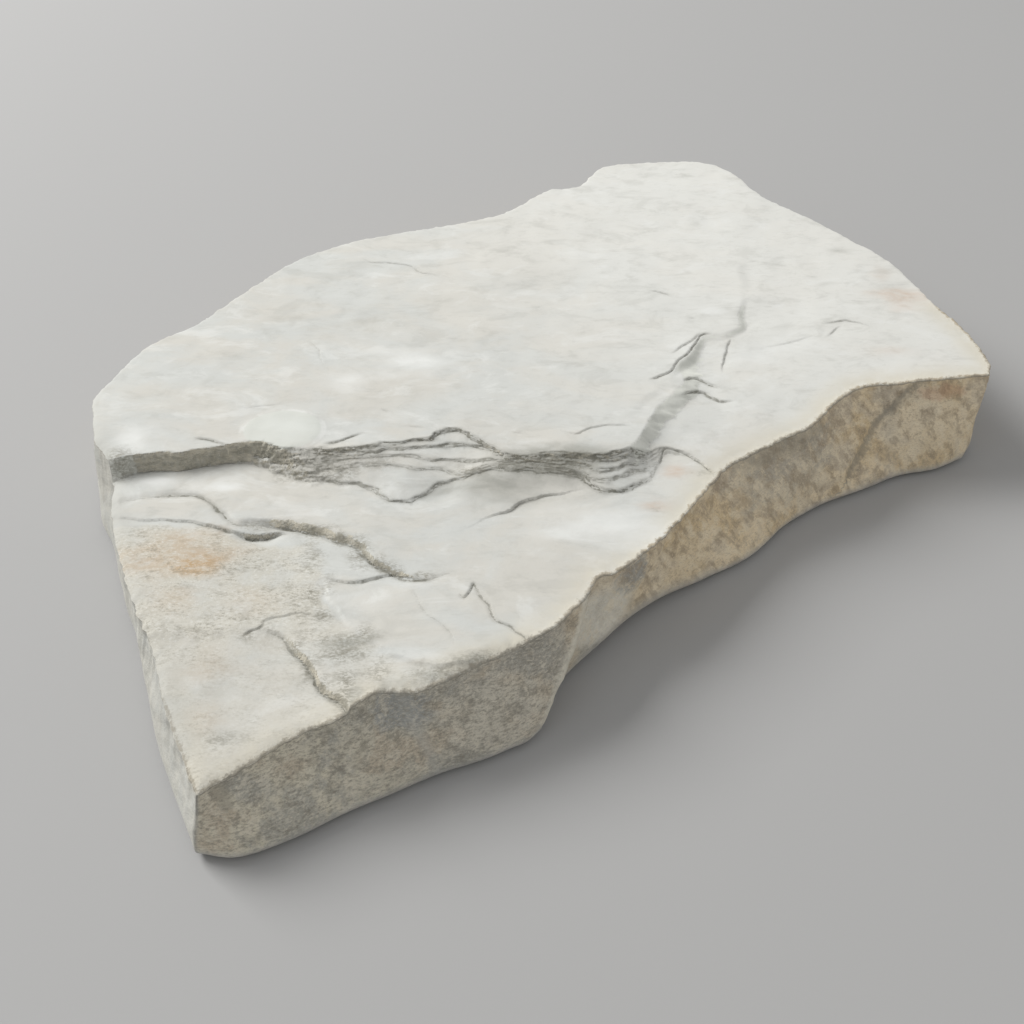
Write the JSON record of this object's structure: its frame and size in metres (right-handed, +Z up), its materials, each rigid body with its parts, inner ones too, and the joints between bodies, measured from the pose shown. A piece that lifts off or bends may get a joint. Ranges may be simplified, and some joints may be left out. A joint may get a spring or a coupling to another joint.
{
  "type": "rock slab",
  "caption": "Flat slab of pale, thin-bedded stone with rough broken sides, stepped bedding ledges across its upper face and a flat underside that it rests on.",
  "frame": {"origin": "under the middle of the slab's bounding box, on the plane that the slab rests on", "axes": "+X along the slab's longest side, towards the full-height end; +Z up through its thickness; -Y is the long broken side with the notch"},
  "size_m": [0.4517, 0.3008, 0.0508],
  "materials": {
    "stone": "dull, fine-grained, pale warm grey, browner on the broken sides"
  },
  "bodies": {
    "root": {"slab": "stone"}
  },
  "joints": []
}
